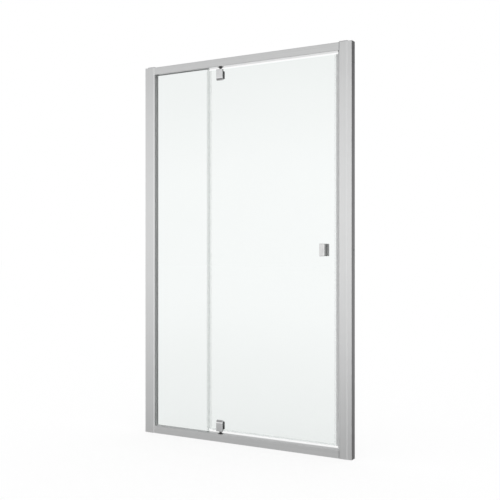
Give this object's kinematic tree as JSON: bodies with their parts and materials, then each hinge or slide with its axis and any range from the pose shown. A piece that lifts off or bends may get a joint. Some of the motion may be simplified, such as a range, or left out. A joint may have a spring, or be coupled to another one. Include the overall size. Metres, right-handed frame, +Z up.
{
  "type": "pivot shower door",
  "caption": "Satin aluminium framed pivot shower door beside an inline fixed glass pane, with block hinges at the door's head and foot, a double-sided square knob and a magnetic closing seal.",
  "frame": {"origin": "on the floor, at the middle of the frame's width and depth", "axes": "+X along the width towards the closing post, +Y from outside the enclosure to its inside, +Z up"},
  "size_m": [1.2, 0.058, 1.95],
  "materials": {
    "frame_aluminium": "satin silver anodised",
    "cap_plastic": "fine matt, silver grey",
    "screw_steel": "plain stainless",
    "safety_glass": "clear toughened, polished edges",
    "glazing_rubber": "matt",
    "edge_trim_plastic": "translucent grey",
    "magnet_seal_plastic": "satin grey",
    "magnet_rubber": "matt",
    "clear_seal_plastic": "clear, flexible",
    "bearing_nylon": "smooth",
    "chrome": "polished"
  },
  "bodies": {
    "frame": {"left_wall_channel": "frame_aluminium", "left_post": "frame_aluminium", "left_post_cap": "cap_plastic", "left_corner_screws": "screw_steel", "left_lock_screws": "screw_steel", "right_wall_channel": "frame_aluminium", "right_post": "frame_aluminium", "right_post_cap": "cap_plastic", "right_corner_screws": "screw_steel", "right_lock_screws": "screw_steel", "sill_rail": "frame_aluminium", "header_rail": "frame_aluminium", "fixed_glass": "safety_glass", "fixed_glass_post_gasket": "glazing_rubber", "fixed_glass_sill_gasket": "glazing_rubber", "fixed_glass_head_gasket": "glazing_rubber", "fixed_glass_edge_trim": "edge_trim_plastic", "sill_infill_short": "frame_aluminium", "sill_infill_long": "frame_aluminium", "head_infill_short": "frame_aluminium", "head_infill_long": "frame_aluminium", "strike_seal": "magnet_seal_plastic", "strike_magnet": "magnet_rubber", "lower_pivot_socket": "bearing_nylon", "lower_pivot_washer": "bearing_nylon", "upper_pivot_socket": "bearing_nylon", "upper_pivot_washer": "bearing_nylon"},
    "door": {"door_glass": "safety_glass", "door_magnet_seal": "magnet_seal_plastic", "door_magnet": "magnet_rubber", "door_pivot_edge_seal": "clear_seal_plastic", "door_bottom_seal_short": "clear_seal_plastic", "door_bottom_seal_long": "clear_seal_plastic", "lower_hinge_cover": "chrome", "lower_hinge_plate": "chrome", "lower_hinge_front_gasket": "glazing_rubber", "lower_hinge_back_gasket": "glazing_rubber", "lower_pivot_pin": "screw_steel", "lower_hinge_screws": "screw_steel", "upper_hinge_cover": "chrome", "upper_hinge_plate": "chrome", "upper_hinge_front_gasket": "glazing_rubber", "upper_hinge_back_gasket": "glazing_rubber", "upper_pivot_pin": "screw_steel", "upper_hinge_screws": "screw_steel", "knob_front": "chrome", "knob_front_gasket": "glazing_rubber", "knob_back": "chrome", "knob_back_gasket": "glazing_rubber", "knob_stud": "screw_steel", "knob_sleeve": "bearing_nylon", "knob_grub_screw": "screw_steel"}
  },
  "joints": [
    {"name": "door_pivot", "type": "hinge", "parent": "frame", "child": "door", "pos_m": [-0.133, 0, 0.975], "axis": [0, 0, -1], "range_deg": [0, 90]}
  ]
}
